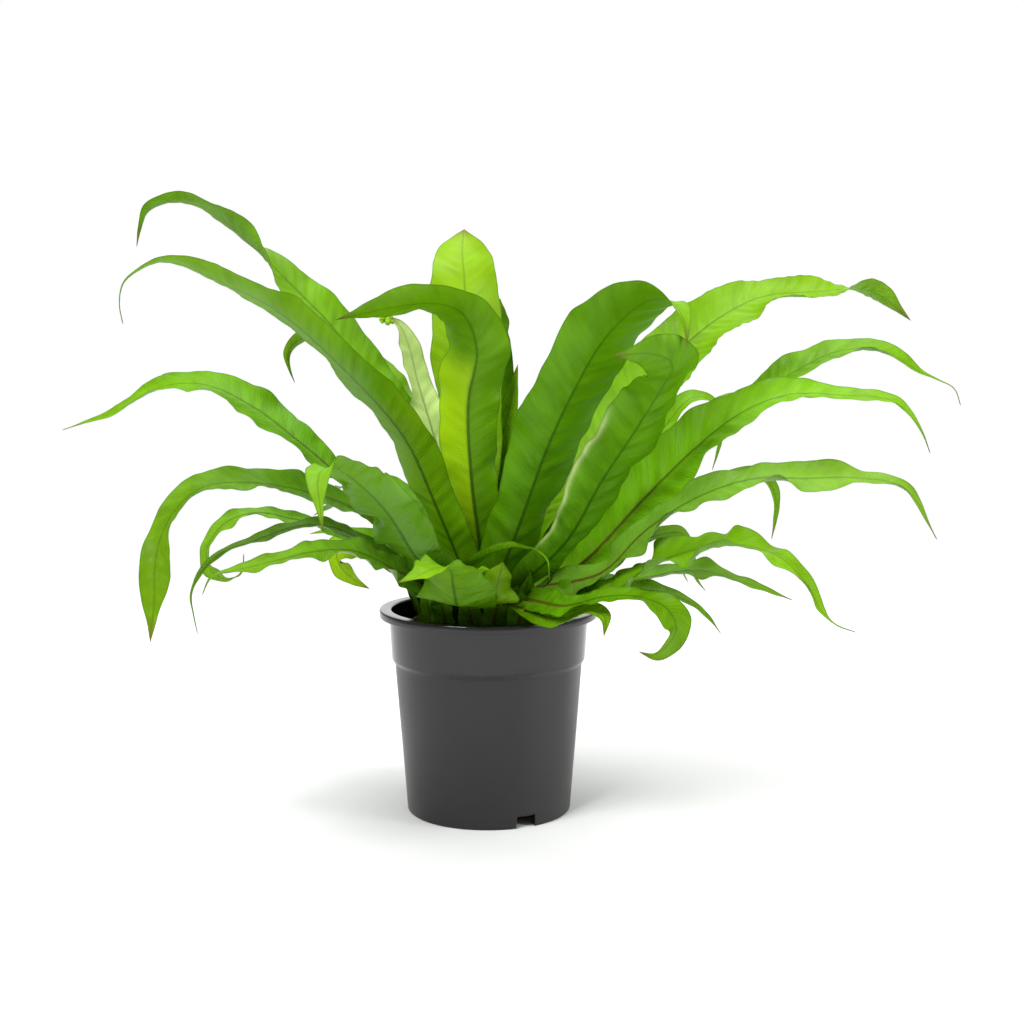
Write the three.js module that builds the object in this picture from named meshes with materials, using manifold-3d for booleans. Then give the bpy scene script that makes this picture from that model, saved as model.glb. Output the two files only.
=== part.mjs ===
// A potted bird's-nest fern: a nursery pot, its soil, the scaly crown of the plant and every frond.
// Millimetres, +Z up, +X to the right, the front of the plant faces -Y.
// The origin is the centre of the pot's foot, on the surface that the pot stands on.
import * as THREE from 'three';
import { mergeVertices } from 'three/addons/utils/BufferGeometryUtils.js';
import Module from 'manifold-3d';

const wasm = await Module();
wasm.setup();

// Driving dimensions.
const potHeight = 159;
const rimRadius = 85; // outside of the rolled rim
const rimOverhang = 7.5; // how far the rim stands out from the collar
const lipDepth = 6; // height of the rim's turned-down lip
const collarRadius = 77.5; // outside of the collar, just under the rim
const collarFoot = 120; // height at which the collar steps in
const stepDrop = 3.5; // height of the sloping step under the collar
const bodyTopRadius = 73;
const footRadius = 64;
const wall = 1.8;
const floorHeight = 6; // underside of the raised floor
const potSides = 48;

const notchCount = 3;
const notchWidth = 16.6;
const notchHeight = 10;
const firstNotchBearing = -63; // degrees from +X; the other notches are a third of a turn apart

const fit = 0.4; // gap left between pieces that rest on one another
const soilEdgeHeight = 147;
const soilTopHeight = 150; // level ground under the crown
const soilTilt = 0.07; // the soil lies a little higher on the right-hand side
const crownRadius = 50;
const crownHeight = 164;
const crownFall = 11; // how much lower the crown is at its edge than in the middle

const stipeWidth = 8; // the narrow foot of a frond
const bladeThickness = 1.8;
const tipThickness = 0.7;
const leastWidth = 2;
const ringSpacing = 14; // distance between a blade's cross-sections
const mostRings = 30;
const fewestRings = 9;
const cupDepth = 0.13; // rise of the blade's edges over its midrib, as a share of the width
const sheathRise = 13; // the first stretch of a frond stands up out of the crown
const sheathReach = 3;

// Helpers.
const degrees = Math.PI / 180;

function solidFrom(geometry) {
  const bare = geometry.index ? geometry.toNonIndexed() : geometry.clone();
  bare.deleteAttribute('normal');
  bare.deleteAttribute('uv');
  const merged = mergeVertices(bare, 1e-4);
  const vertProperties = new Float32Array(merged.attributes.position.array);
  const triVerts = new Uint32Array(merged.index.array);
  return new wasm.Manifold(new wasm.Mesh({ numProp: 3, vertProperties, triVerts }));
}

function geometryFrom(solid) {
  const mesh = solid.getMesh();
  const geometry = new THREE.BufferGeometry();
  geometry.setAttribute('position', new THREE.BufferAttribute(new Float32Array(mesh.vertProperties), 3));
  geometry.setIndex(new THREE.BufferAttribute(new Uint32Array(mesh.triVerts), 1));
  geometry.computeVertexNormals();
  return geometry;
}

// A turned body about the vertical axis; the profile is a closed list of [radius, height].
function turned(profile, sides) {
  const points = profile.map(([radius, height]) => new THREE.Vector2(radius, height));
  const geometry = new THREE.LatheGeometry(points, sides);
  geometry.rotateX(90 * degrees); // the lathe turns about Y; stand its axis up
  return geometry;
}

function named(name, geometry, colour, roughness) {
  const material = new THREE.MeshStandardMaterial({ color: colour, roughness, metalness: 0 });
  const mesh = new THREE.Mesh(geometry, material);
  mesh.name = name;
  return mesh;
}

// Pot.
function bodyRadiusAt(height) {
  return footRadius + (bodyTopRadius - footRadius) * (height / (collarFoot - stepDrop));
}

function potProfile() {
  const stepHeight = collarFoot - stepDrop;
  const collarInner = collarRadius - wall;
  const rimUnder = potHeight - wall;
  return [
    [0, floorHeight],
    [bodyRadiusAt(floorHeight) - 2.5 * wall, floorHeight],
    [footRadius - 1.8 * wall, 0],
    [footRadius, 0],
    [bodyRadiusAt(stepHeight), stepHeight],
    [collarRadius - 2, collarFoot],
    [collarRadius, rimUnder - 3],
    [rimRadius - wall, rimUnder - 0.4],
    [rimRadius - wall, potHeight - lipDepth],
    [rimRadius, potHeight - lipDepth],
    [rimRadius, potHeight - 1],
    [rimRadius - 1, potHeight],
    [rimRadius - rimOverhang - wall, potHeight],
    [collarInner, rimUnder - 3],
    [collarInner - 2, collarFoot + 1],
    [bodyRadiusAt(stepHeight) - wall, stepHeight],
    [bodyRadiusAt(floorHeight) - wall, floorHeight + wall],
    [0, floorHeight + wall],
  ];
}

// A drainage notch in the foot, a little narrower at the top, cut through the wall and the floor's edge.
function notchCutter(bearing) {
  const half = notchWidth / 2;
  const outline = new THREE.Shape();
  outline.moveTo(-half, -1);
  outline.lineTo(half, -1);
  outline.lineTo(half - 0.8, notchHeight);
  outline.lineTo(-half + 0.8, notchHeight);
  outline.closePath();
  const depth = 16;
  const cutter = new THREE.ExtrudeGeometry(outline, { depth, bevelEnabled: false });
  cutter.rotateX(90 * degrees); // the outline stands up and the depth runs along -Y
  cutter.translate(0, -(footRadius - depth / 2 - 2), 0);
  cutter.rotateZ((bearing + 90) * degrees);
  return solidFrom(cutter);
}

function makePot() {
  let solid = solidFrom(turned(potProfile(), potSides));
  for (let i = 0; i < notchCount; i += 1) {
    solid = solid.subtract(notchCutter(firstNotchBearing + (i * 360) / notchCount));
  }
  return named('pot', geometryFrom(solid), 0x17191a, 0.4);
}

// Soil and crown.
function makeSoil() {
  const stepHeight = collarFoot - stepDrop;
  const gap = wall + fit;
  const geometry = turned([
    [0, floorHeight + gap],
    [bodyRadiusAt(floorHeight) - gap - 0.3, floorHeight + gap],
    [bodyRadiusAt(stepHeight) - gap - 0.2, stepHeight],
    [collarRadius - gap - 2.4, collarFoot + 3],
    [collarRadius - gap - 0.8, soilEdgeHeight],
    [66, soilEdgeHeight + 1.5],
    [crownRadius + 3, soilTopHeight],
    [0, soilTopHeight],
  ], 32);
  const place = geometry.attributes.position;
  for (let i = 0; i < place.count; i += 1) {
    const radius = Math.hypot(place.getX(i), place.getY(i));
    const height = place.getZ(i);
    if (height >= soilEdgeHeight - 0.5 && radius > crownRadius + 4) {
      place.setZ(i, height + soilTilt * place.getX(i));
    }
  }
  return named('soil', geometryFrom(solidFrom(geometry)), 0x4a3020, 0.95);
}

function crownTop(radius) {
  return crownHeight - crownFall * (radius / crownRadius) ** 2;
}

function makeCrown() {
  const profile = [[0, soilTopHeight + fit], [crownRadius, soilTopHeight + fit]];
  for (let radius = crownRadius; radius > 0; radius -= 10) {
    profile.push([radius, crownTop(radius)]);
  }
  profile.push([0, crownHeight]);
  return named('crown', geometryFrom(solidFrom(turned(profile, 24))), 0x4b3622, 0.9);
}

// Fronds.
// ring and bearing place a frond's foot on the crown: the distance from the axis and the angle from +X.
// rib is the route of the midrib after that, roll turns the blade about it in degrees, in even steps
// from foot to tip, and a positive roll lifts the edge on the left as seen looking out along the frond.
// width is the greatest width, widest its place along the frond, and taper how fast the tip thins out.
// A frond that swells and narrows in its own way has a list of widths in even steps instead.
const leftFronds = [
  { name: 'frond_left_tall', ring: 22, bearing: 165,
    rib: [[-46, 20, 264], [-83, 30, 326], [-120, 36, 376], [-153, 38, 410], [-180, 36, 438],
      [-207, 28, 463], [-233, 18, 474], [-260, 6, 467], [-268, 0, 437]],
    widths: [8, 14, 24, 34, 42, 46, 46, 42, 40, 36, 28, 18, 0],
    roll: [0, 0, -8, -12, -16, -18, -20, -25, -12, 38, 30, 45, 60] },
  { name: 'frond_left_long', ring: 22, bearing: 238,
    rib: [[-36, -44, 241], [-59, -70, 298], [-100, -104, 350], [-141, -125, 388],
      [-173, -143, 405], [-213, -156, 419], [-240, -164, 401], [-239, -164, 376]],
    widths: [8, 22, 36, 42, 46, 43, 36, 15, 0],
    roll: [0, 0, 3, -3, -10, -12, -12, -18, -15] },
  { name: 'frond_left_wide', ring: 33, bearing: 172,
    rib: [[-74, 12, 220], [-112, 26, 255], [-148, 38, 285], [-187, 50, 314], [-230, 58, 333],
      [-268, 62, 330], [-308, 64, 308], [-348, 64, 294]],
    widths: [8, 12, 17, 25, 40, 42, 31, 17, 0],
    roll: [0, -10, -20, -25, -25, -25, -30, -25] },
  { name: 'frond_left_droop', ring: 33, bearing: 214,
    rib: [[-75, -78, 232], [-103, -109, 254], [-133, -140, 267], [-164, -161, 273],
      [-190, -180, 269], [-207, -190, 250], [-214, -198, 224], [-214, -204, 198], [-216, -208, 171]],
    widths: [8, 10, 14, 20, 25, 29, 33, 35, 33, 29, 22, 18, 0],
    roll: [0, -31, -33, -30, -20, -12, 6, -32, -30] },
  { name: 'frond_left_nod', ring: 44, bearing: 236,
    rib: [[-51, -101, 217], [-68, -130, 250], [-88, -159, 275], [-100, -179, 284],
      [-108, -195, 279], [-106, -200, 262], [-104, -203, 243]],
    widths: [8, 15, 32, 42, 42, 38, 32, 17, 0],
    roll: [0, 0, 10, 20, 20, 10, 0] },
  { name: 'frond_left_curl', ring: 44, bearing: 195,
    rib: [[-83, -49, 208], [-113, -70, 229], [-143, -83, 239], [-167, -94, 244],
      [-189, -103, 235], [-199, -107, 216], [-193, -109, 201], [-176, -109, 198], [-171, -112, 217]],
    widths: [8, 12, 16, 17, 15, 14, 16, 12, 0],
    roll: [0, -20, -20, -15, -15, -5, -10, 5] },
  { name: 'frond_left_thread', ring: 44, bearing: 208, width: 17, widest: 0.45, taper: 1.2,
    rib: [[-75, -75, 212], [-111, -107, 236], [-134, -122, 237], [-159, -135, 229],
      [-183, -148, 220], [-199, -156, 197], [-195, -159, 167]],
    roll: [0, -30, -25, -10, 0, 0, -5] },
  { name: 'frond_left_wavy', ring: 44, bearing: 222,
    rib: [[-66, -94, 203], [-91, -127, 221], [-115, -153, 224], [-140, -172, 220],
      [-160, -185, 216], [-178, -195, 212], [-184, -198, 200]],
    widths: [8, 14, 20, 24, 24, 19, 17, 10, 0],
    roll: [0, -50, -45, -25, -15, -10, 0] },
  { name: 'frond_left_low', ring: 44, bearing: 181, width: 30, widest: 0.5, taper: 1,
    rib: [[-76, 0, 194], [-104, 8, 206], [-121, 12, 199], [-112, 14, 183], [-94, 16, 171]],
    roll: [0, -20, -25, -75, -80] },
  { name: 'frond_left_short', ring: 33, bearing: 196, width: 26, widest: 0.5, taper: 1,
    rib: [[-66, -14, 200], [-94, -22, 217], [-116, -25, 222], [-136, -26, 220]],
    roll: [0, -20, -25, -20] },
  { name: 'frond_left_arch', ring: 22, bearing: 142,
    rib: [[-52, 45, 269], [-81, 77, 326], [-108, 103, 353], [-134, 120, 372], [-160, 127, 370],
      [-173, 130, 355], [-167, 133, 330]],
    widths: [8, 18, 32, 42, 44, 40, 30, 14, 0],
    roll: [0, 4, 0, 3, 0, -10, -5, 36, 25] },
];

const centreFronds = [
  { name: 'frond_centre_tall', ring: 11, bearing: 120,
    rib: [[-11, 18, 282], [-15, 26, 336], [-18, 36, 382], [-20, 55, 419], [-22, 75, 441],
      [-21, 99, 458]],
    widths: [8, 13, 22, 30, 38, 46, 51, 55, 56, 54, 50, 36, 0],
    roll: [0, -30, -30, -30, -30, -30] },
  { name: 'frond_centre_bent', ring: 11, bearing: 262,
    rib: [[-12, -29, 261], [-14, -42, 322], [-7, -55, 360], [-17, -73, 387], [-39, -91, 394],
      [-64, -104, 391], [-87, -112, 385], [-104, -117, 380]],
    widths: [8, 13, 22, 35, 40, 43, 47, 46, 41, 30, 35, 20, 0],
    roll: [0, 7, 10, 10, 10, 6, 10, 18, 20] },
  { name: 'frond_centre_crozier', ring: 11, bearing: 195,
    rib: [[-34, -8, 268], [-46, -6, 310], [-55, -4, 340], [-60, -6, 362], [-67, -10, 378],
      [-75, -16, 385]],
    widths: [8, 9, 12, 16, 19, 20, 20, 20, 19, 17, 14, 10, 0],
    roll: [0, -65, -65, -65, -65, -65] },
  { name: 'frond_centre_dark', ring: 11, bearing: 55, width: 26, widest: 0.5, taper: 0.8,
    rib: [[8, 28, 280], [17, 36, 316], [23, 42, 348]],
    roll: [0, 0, 0, 0] },
];

const rightFronds = [
  { name: 'frond_right_broad', ring: 22, bearing: 282,
    rib: [[25, -44, 235], [44, -68, 292], [62, -88, 333], [83, -112, 371], [104, -133, 392],
      [121, -151, 396], [131, -164, 384], [134, -169, 362]],
    widths: [8, 24, 40, 54, 57, 55, 60, 36, 0],
    roll: [0, 5, 5, 5, 5, 5, 8, 10, 10] },
  { name: 'frond_right_folded', ring: 33, bearing: 300,
    rib: [[58, -62, 220], [81, -88, 266], [104, -117, 307], [120, -139, 338], [124, -160, 352],
      [108, -180, 358], [95, -196, 357], [83, -208, 356]],
    widths: [8, 16, 27, 42, 48, 50, 46, 26, 0],
    roll: [0, -10, -10, -10, -10, -5, 7, 31, 40] },
  { name: 'frond_right_pleated', ring: 22, bearing: 35,
    rib: [[56, 42, 252], [118, 68, 322], [162, 86, 367], [191, 94, 389], [225, 101, 405],
      [271, 107, 409], [318, 109, 409], [353, 112, 383]],
    widths: [8, 14, 24, 38, 50, 56, 58, 58, 54, 46, 36, 24, 0],
    roll: [0, 8, 15, 25, 28, 26, 24, 20, 16, 5, 8, -50, -60] },
  { name: 'frond_right_high', ring: 33, bearing: 353,
    rib: [[102, -8, 238], [156, -20, 299], [196, -30, 323], [232, -38, 347], [260, -42, 360],
      [292, -46, 360], [326, -48, 340], [343, -50, 333], [350, -50, 318]],
    widths: [8, 12, 17, 24, 30, 34, 38, 39, 38, 34, 24, 6, 0],
    roll: [0, 35, 40, 25, 22, 20, 20, 20] },
  { name: 'frond_right_arch', ring: 33, bearing: 336,
    rib: [[70, -39, 199], [113, -68, 251], [146, -88, 289], [178, -104, 317], [211, -114, 330],
      [248, -122, 329], [281, -127, 325], [298, -130, 308], [307, -130, 288]],
    widths: [8, 21, 39, 53, 55, 46, 26, 15, 0],
    roll: [0, 60, 70, 60, 40, 30, 25, 30] },
  { name: 'frond_right_glossy', ring: 33, bearing: 319,
    rib: [[83, -83, 199], [111, -114, 233], [144, -136, 259], [181, -152, 274], [215, -161, 275],
      [243, -169, 276], [278, -177, 269], [300, -179, 234]],
    widths: [8, 15, 22, 26, 28, 29, 27, 14, 0],
    roll: [0, 39, 52, 55, 45, 40, 42, 35, 30] },
  { name: 'frond_right_low', ring: 45, bearing: 312,
    rib: [[86, -100, 186], [112, -131, 211], [139, -155, 226], [170, -180, 233], [195, -195, 225],
      [211, -203, 207], [222, -211, 187], [240, -216, 179]],
    widths: [8, 14, 24, 34, 40, 38, 26, 13, 0],
    roll: [0, 40, 40, 30, 25, 10, 10, 5] },
  { name: 'frond_right_lower', ring: 44, bearing: 338, width: 28, widest: 0.5, taper: 1.1,
    rib: [[85, -42, 181], [117, -62, 193], [154, -81, 201], [187, -94, 193], [220, -101, 181]],
    roll: [0, 20, 15, 10, 10] },
  { name: 'frond_right_curl', ring: 44, bearing: 299,
    rib: [[57, -109, 179], [84, -140, 191], [108, -161, 193], [124, -172, 186], [129, -177, 170],
      [118, -179, 160], [108, -181, 155], [102, -182, 160]],
    widths: [8, 11, 15, 17, 17, 17, 20, 26, 0],
    roll: [0, 40, 45, 35, 25, 20, 10] },
  { name: 'frond_right_short', ring: 44, bearing: 325, width: 20, widest: 0.5, taper: 1.1,
    rib: [[75, -75, 178], [110, -96, 189], [137, -109, 185], [153, -117, 176], [166, -120, 160]],
    roll: [0, 25, 25, 15, 5] },
  { name: 'frond_right_yellow', ring: 33, bearing: 14, width: 20, widest: 0.6, taper: 1,
    rib: [[91, 47, 191], [127, 68, 206], [146, 78, 204], [154, 83, 187], [166, 86, 165]],
    roll: [0, 5, 10, 45, 60] },
  { name: 'frond_right_grey', ring: 44, bearing: 5, width: 18, widest: 0.55, taper: 1,
    rib: [[88, 14, 186], [128, 32, 210], [156, 42, 212], [164, 46, 194], [166, 46, 178],
      [176, 46, 164]],
    roll: [0, 10, 20, 25, 60, 55] },
  { name: 'frond_right_tip', ring: 22, bearing: 10, width: 30, widest: 0.45, taper: 1,
    rib: [[88, 20, 226], [140, 36, 300], [162, 42, 322], [180, 48, 318], [186, 50, 290],
      [180, 52, 262]],
    roll: [0, 25, 25, 25, 65] },
  { name: 'frond_right_behind', ring: 44, bearing: 351, width: 20, widest: 0.6, taper: 1,
    rib: [[86, -8, 194], [126, 6, 222], [166, 18, 248], [202, 26, 262], [221, 30, 258],
      [229, 32, 238], [226, 34, 208]],
    roll: [0, 20, 20, 20, 25, 65, 70] },
];

const frontFronds = [
  { name: 'frond_front_fold', ring: 44, bearing: 250, width: 52, widest: 0.5, taper: 0.9,
    rib: [[-21, -83, 177], [-23, -107, 198], [-24, -138, 212], [-34, -164, 215], [-46, -179, 210],
      [-57, -187, 207]],
    roll: [0, 0, 0, 0, 0, 0] },
  { name: 'frond_front_curl', ring: 33, bearing: 270, width: 16, widest: 0.5, taper: 1,
    rib: [[-8, -55, 186], [-12, -65, 202], [0, -78, 212], [18, -88, 219], [36, -96, 217],
      [45, -101, 207], [45, -104, 196]],
    roll: [0, 20, 30, 30, 20, 10, 0] },
  { name: 'frond_front_stub', ring: 45, bearing: 267, width: 18, widest: 0.6, taper: 0.5,
    rib: [[5, -75, 177], [8, -83, 193], [12, -87, 207]],
    roll: [0, 0, 0, 0] },
  { name: 'frond_front_hang', ring: 46, bearing: 281,
    rib: [[51, -99, 167], [69, -122, 177], [79, -135, 179], [84, -139, 172], [82, -140, 162]],
    widths: [6, 8, 9, 10, 13, 17, 20, 14, 0],
    roll: [0, 25, 60, 35, 0] },
];

// The fronds at the back lean away in plain arches; reach is measured from the plant's axis.
function archedFrond([name, ring, bearing, reach, rise, width, turn]) {
  const along = [0.2, 0.45, 0.72, 1];
  const up = [0.58, 0.92, 1, 0.8];
  const rib = along.map((share, i) => {
    const heading = (bearing + turn * share) * degrees;
    const radius = ring + (reach - ring) * share;
    return [radius * Math.cos(heading), radius * Math.sin(heading), crownHeight + rise * up[i]];
  });
  return { name, ring, bearing, width, widest: 0.5, taper: 1.2, rib, roll: [0, 12, -8, 10] };
}

const backFronds = [
  ['frond_back_upright', 22, 91, 150, 236, 44, 2],
  ['frond_back_tall_left', 22, 113, 180, 144, 36, -9],
  ['frond_back_tall_right', 22, 66, 215, 165, 46, -8],
  ['frond_back_mid_left', 33, 130, 215, 82, 42, 6],
  ['frond_back_mid', 33, 102, 225, 120, 42, -4],
  ['frond_back_mid_right', 33, 76, 225, 130, 42, -4],
  ['frond_back_side_right', 33, 46, 215, 105, 38, -4],
  ['frond_back_low_left', 44, 152, 180, 70, 32, -6],
  ['frond_back_low_mid_left', 44, 120, 215, 75, 34, 8],
  ['frond_back_low_mid', 44, 86, 215, 70, 32, 4],
  ['frond_back_low_right', 44, 58, 205, 60, 32, -6],
  ['frond_back_low_far_right', 44, 36, 160, 55, 30, 4],
].map(archedFrond);

function allFronds() {
  return [...leftFronds, ...centreFronds, ...rightFronds, ...frontFronds, ...backFronds];
}

function footOf(frond) {
  const heading = frond.bearing * degrees;
  const foot = crownTop(frond.ring - 2) + fit;
  const lean = frond.ring + sheathReach;
  return [
    new THREE.Vector3(frond.ring * Math.cos(heading), frond.ring * Math.sin(heading), foot),
    new THREE.Vector3(lean * Math.cos(heading), lean * Math.sin(heading), foot + sheathRise),
  ];
}

// A smooth line through values that stand in even steps from foot to tip.
function evenly(values, share) {
  return new THREE.SplineCurve(values.map((value, i) => new THREE.Vector2(i, value))).getPoint(share).y;
}

function bladeWidth(frond, share) {
  if (frond.widths) {
    return Math.max(evenly(frond.widths, share), leastWidth);
  }
  if (share < frond.widest) {
    const rise = Math.sin((share / frond.widest) * 90 * degrees) ** 1.5;
    return stipeWidth + (frond.width - stipeWidth) * rise;
  }
  const past = (share - frond.widest) / (1 - frond.widest);
  return frond.width * Math.cos(past * 90 * degrees) ** frond.taper;
}

// A thin closed blade: rings of four points (left edge, midrib above, right edge, midrib below)
// carried along the rib, closed flat at the foot and to one point at the tip.
function frondGeometry(frond) {
  const curve = new THREE.CatmullRomCurve3(
    [...footOf(frond), ...frond.rib.map((point) => new THREE.Vector3(...point))], false, 'centripetal',
  );
  curve.arcLengthDivisions = 400;
  const steps = THREE.MathUtils.clamp(Math.round(curve.getLength() / ringSpacing), fewestRings, mostRings);
  const side = new THREE.Vector3(-Math.sin(frond.bearing * degrees), Math.cos(frond.bearing * degrees), 0);
  const vertices = [];
  for (let i = 0; i < steps; i += 1) {
    const share = i / steps;
    const centre = curve.getPointAt(share);
    const along = i === 0 ? new THREE.Vector3(0, 0, 1) : curve.getTangentAt(share);
    side.addScaledVector(along, -side.dot(along)).normalize();
    const across = side.clone().applyAxisAngle(along, evenly(frond.roll, share) * degrees);
    const up = along.clone().cross(across);
    const width = bladeWidth(frond, share);
    const thickness = THREE.MathUtils.lerp(bladeThickness, tipThickness, share);
    const cup = i === 0 ? 0 : (cupDepth * width) / 2;
    vertices.push(
      centre.clone().addScaledVector(across, width / 2).addScaledVector(up, cup),
      centre.clone().addScaledVector(up, thickness / 2 - cup),
      centre.clone().addScaledVector(across, -width / 2).addScaledVector(up, cup),
      centre.clone().addScaledVector(up, -thickness / 2 - cup),
    );
  }
  vertices.push(curve.getPointAt(1));
  const triangles = [[0, 2, 1], [0, 3, 2]];
  for (let i = 0; i + 1 < steps; i += 1) {
    for (let j = 0; j < 4; j += 1) {
      const a = 4 * i + j;
      const b = 4 * i + ((j + 1) % 4);
      // every diagonal starts on an edge of the blade, so that its two sides stay parallel in a twist
      if (j % 2 === 0) {
        triangles.push([a, b, b + 4], [a, b + 4, a + 4]);
      } else {
        triangles.push([a, b, a + 4], [b, b + 4, a + 4]);
      }
    }
  }
  const last = 4 * (steps - 1);
  for (let j = 0; j < 4; j += 1) {
    triangles.push([last + j, last + ((j + 1) % 4), 4 * steps]);
  }
  const geometry = new THREE.BufferGeometry().setFromPoints(vertices);
  geometry.setIndex(triangles.flat());
  return geometry;
}

function makeFrond(frond) {
  return named(frond.name, frondGeometry(frond), frond.colour ?? 0x4d8f1e, 0.45);
}

// The whole plant.
const fern = new THREE.Group();
fern.add(makePot(), makeSoil(), makeCrown());
allFronds().forEach((frond) => fern.add(makeFrond(frond)));

export default fern;
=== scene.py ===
import math
import bpy
import numpy as np
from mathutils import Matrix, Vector


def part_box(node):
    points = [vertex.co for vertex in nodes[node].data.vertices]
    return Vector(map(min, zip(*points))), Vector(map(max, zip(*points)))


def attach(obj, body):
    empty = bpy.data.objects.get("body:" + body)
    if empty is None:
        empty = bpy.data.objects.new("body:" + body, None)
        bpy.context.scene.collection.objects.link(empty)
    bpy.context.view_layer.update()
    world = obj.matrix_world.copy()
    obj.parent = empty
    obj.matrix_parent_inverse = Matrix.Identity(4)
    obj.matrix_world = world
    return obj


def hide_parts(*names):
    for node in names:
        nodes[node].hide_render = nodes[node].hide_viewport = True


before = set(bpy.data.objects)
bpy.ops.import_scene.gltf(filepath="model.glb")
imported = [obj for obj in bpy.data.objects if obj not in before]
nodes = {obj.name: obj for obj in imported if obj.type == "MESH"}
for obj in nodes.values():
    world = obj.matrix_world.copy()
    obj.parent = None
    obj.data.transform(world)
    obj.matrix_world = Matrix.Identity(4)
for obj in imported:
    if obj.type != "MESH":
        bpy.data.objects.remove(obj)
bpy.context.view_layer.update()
potLow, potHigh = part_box("pot")
rimRadius = (potHigh.x - potLow.x) / 2
potHeight = potHigh.z
print("frame loaded:", len(nodes), "nodes")


# camera, lights and floor

studio = {
    "cameraPlace": (0.0184, -1.2, 0.362),
    "cameraPitch": 6.09,        # degrees below the horizon
    "cameraLens": 54.63,
    "floorSize": 2.4,
    "floorColour": (0.7, 0.7, 0.7, 1),
    "worldColour": (1.0, 1.0, 1.0, 1),
    "worldStrength": 0.42,      # as a light; the backdrop itself is plain white
}


def addCamera():
    camera = bpy.data.objects.new("camera", bpy.data.cameras.new("camera"))
    camera.data.lens = studio["cameraLens"]
    camera.data.clip_end = 50
    camera.location = studio["cameraPlace"]
    camera.rotation_euler = (math.radians(90 - studio["cameraPitch"]), 0, 0)
    bpy.context.scene.collection.objects.link(camera)
    bpy.context.scene.camera = camera


def addLight(name, place, target, size, power, colour=(1, 1, 1)):
    light = bpy.data.lights.new(name, "AREA")
    light.shape = "RECTANGLE"
    light.size, light.size_y = size
    light.energy = power
    light.color = colour
    holder = bpy.data.objects.new(name, light)
    holder.location = place
    aim = Vector(target) - Vector(place)
    holder.rotation_euler = aim.to_track_quat("-Z", "Y").to_euler()
    bpy.context.scene.collection.objects.link(holder)


def addStudio():
    addCamera()
    middle = (0, 0, 0.26)
    addLight("keyLight", (-1.1, -1.5, 1.9), middle, (1.1, 0.9), 76)
    addLight("fillLight", (1.8, -0.9, 1.0), middle, (0.6, 1.8), 30)
    addLight("topLight", (0.2, 0.4, 2.1), middle, (1.6, 1.0), 40)
    addLight("backLight", (0.3, 2.0, 1.0), middle, (2.4, 1.4), 11)
    world = bpy.data.worlds.new("softWhite")
    bpy.context.scene.world = world
    world.use_nodes = True
    tree = world.node_tree
    background = tree.nodes["Background"]
    background.inputs["Color"].default_value = studio["worldColour"]
    seen = tree.nodes.new("ShaderNodeLightPath").outputs["Is Camera Ray"]
    strength = mathNode(tree, "MAXIMUM", seen, studio["worldStrength"])
    tree.links.new(strength, background.inputs["Strength"])
    half = studio["floorSize"] / 2
    mesh = bpy.data.meshes.new("floor")
    corners = [(-half, -half, 0), (half, -half, 0), (half, half, 0), (-half, half, 0)]
    mesh.from_pydata(corners, [], [(0, 1, 2, 3)])
    floor = bpy.data.objects.new("floor", mesh)
    floor.location.z = -0.0002
    bpy.context.scene.collection.objects.link(floor)
    material = bpy.data.materials.new("paleFloor")
    material.use_nodes = True
    shader = material.node_tree.nodes["Principled BSDF"]
    shader.inputs["Roughness"].default_value = 0.9
    shader.inputs["Specular IOR Level"].default_value = 0.1
    shader.inputs["Base Color"].default_value = studio["floorColour"]
    mesh.materials.append(material)


# small helpers for node trees

def newGroup(name, inputs, outputs):
    tree = bpy.data.node_groups.new(name, "ShaderNodeTree")
    for label, kind, value in inputs:
        socket = tree.interface.new_socket(label, in_out="INPUT", socket_type=kind)
        if value is not None:
            socket.default_value = value
    for label, kind in outputs:
        tree.interface.new_socket(label, in_out="OUTPUT", socket_type=kind)
    return tree, tree.nodes.new("NodeGroupInput"), tree.nodes.new("NodeGroupOutput")


def mathNode(tree, operation, first, second=None, third=None, clamp=False):
    node = tree.nodes.new("ShaderNodeMath")
    node.operation = operation
    node.use_clamp = clamp
    for index, value in enumerate((first, second, third)):
        if value is None:
            continue
        if isinstance(value, (int, float)):
            node.inputs[index].default_value = value
        else:
            tree.links.new(value, node.inputs[index])
    return node.outputs[0]


def mixColour(tree, factor, first, second, blend="MIX"):
    node = tree.nodes.new("ShaderNodeMix")
    node.data_type = "RGBA"
    node.blend_type = blend
    for label, value in (("Factor", factor), ("A", first), ("B", second)):
        wanted = "VALUE" if label == "Factor" else "RGBA"
        socket = next(s for s in node.inputs if s.name == label and s.type == wanted)
        if isinstance(value, (int, float, tuple)):
            socket.default_value = value
        else:
            tree.links.new(value, socket)
    return next(s for s in node.outputs if s.type == "RGBA")


def rampNode(tree, factor, stops, smooth=False):
    node = tree.nodes.new("ShaderNodeValToRGB")
    ramp = node.color_ramp
    ramp.interpolation = "EASE" if smooth else "LINEAR"
    while len(ramp.elements) < len(stops):
        ramp.elements.new(0.5)
    for element, (place, colour) in zip(ramp.elements, stops):
        element.position = place
        element.color = colour if isinstance(colour, tuple) else (colour, colour, colour, 1)
    tree.links.new(factor, node.inputs["Fac"])
    return node.outputs["Color"]


def noiseNode(tree, scale, detail=3.0, rough=0.55, vector=None):
    node = tree.nodes.new("ShaderNodeTexNoise")
    node.inputs["Scale"].default_value = scale
    node.inputs["Detail"].default_value = detail
    node.inputs["Roughness"].default_value = rough
    if vector is not None:
        tree.links.new(vector, node.inputs["Vector"])
    return node.outputs["Fac"]


def bumpNode(tree, height, strength, distance):
    node = tree.nodes.new("ShaderNodeBump")
    node.inputs["Strength"].default_value = strength
    node.inputs["Distance"].default_value = distance
    tree.links.new(height, node.inputs["Height"])
    return node.outputs["Normal"]


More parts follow.
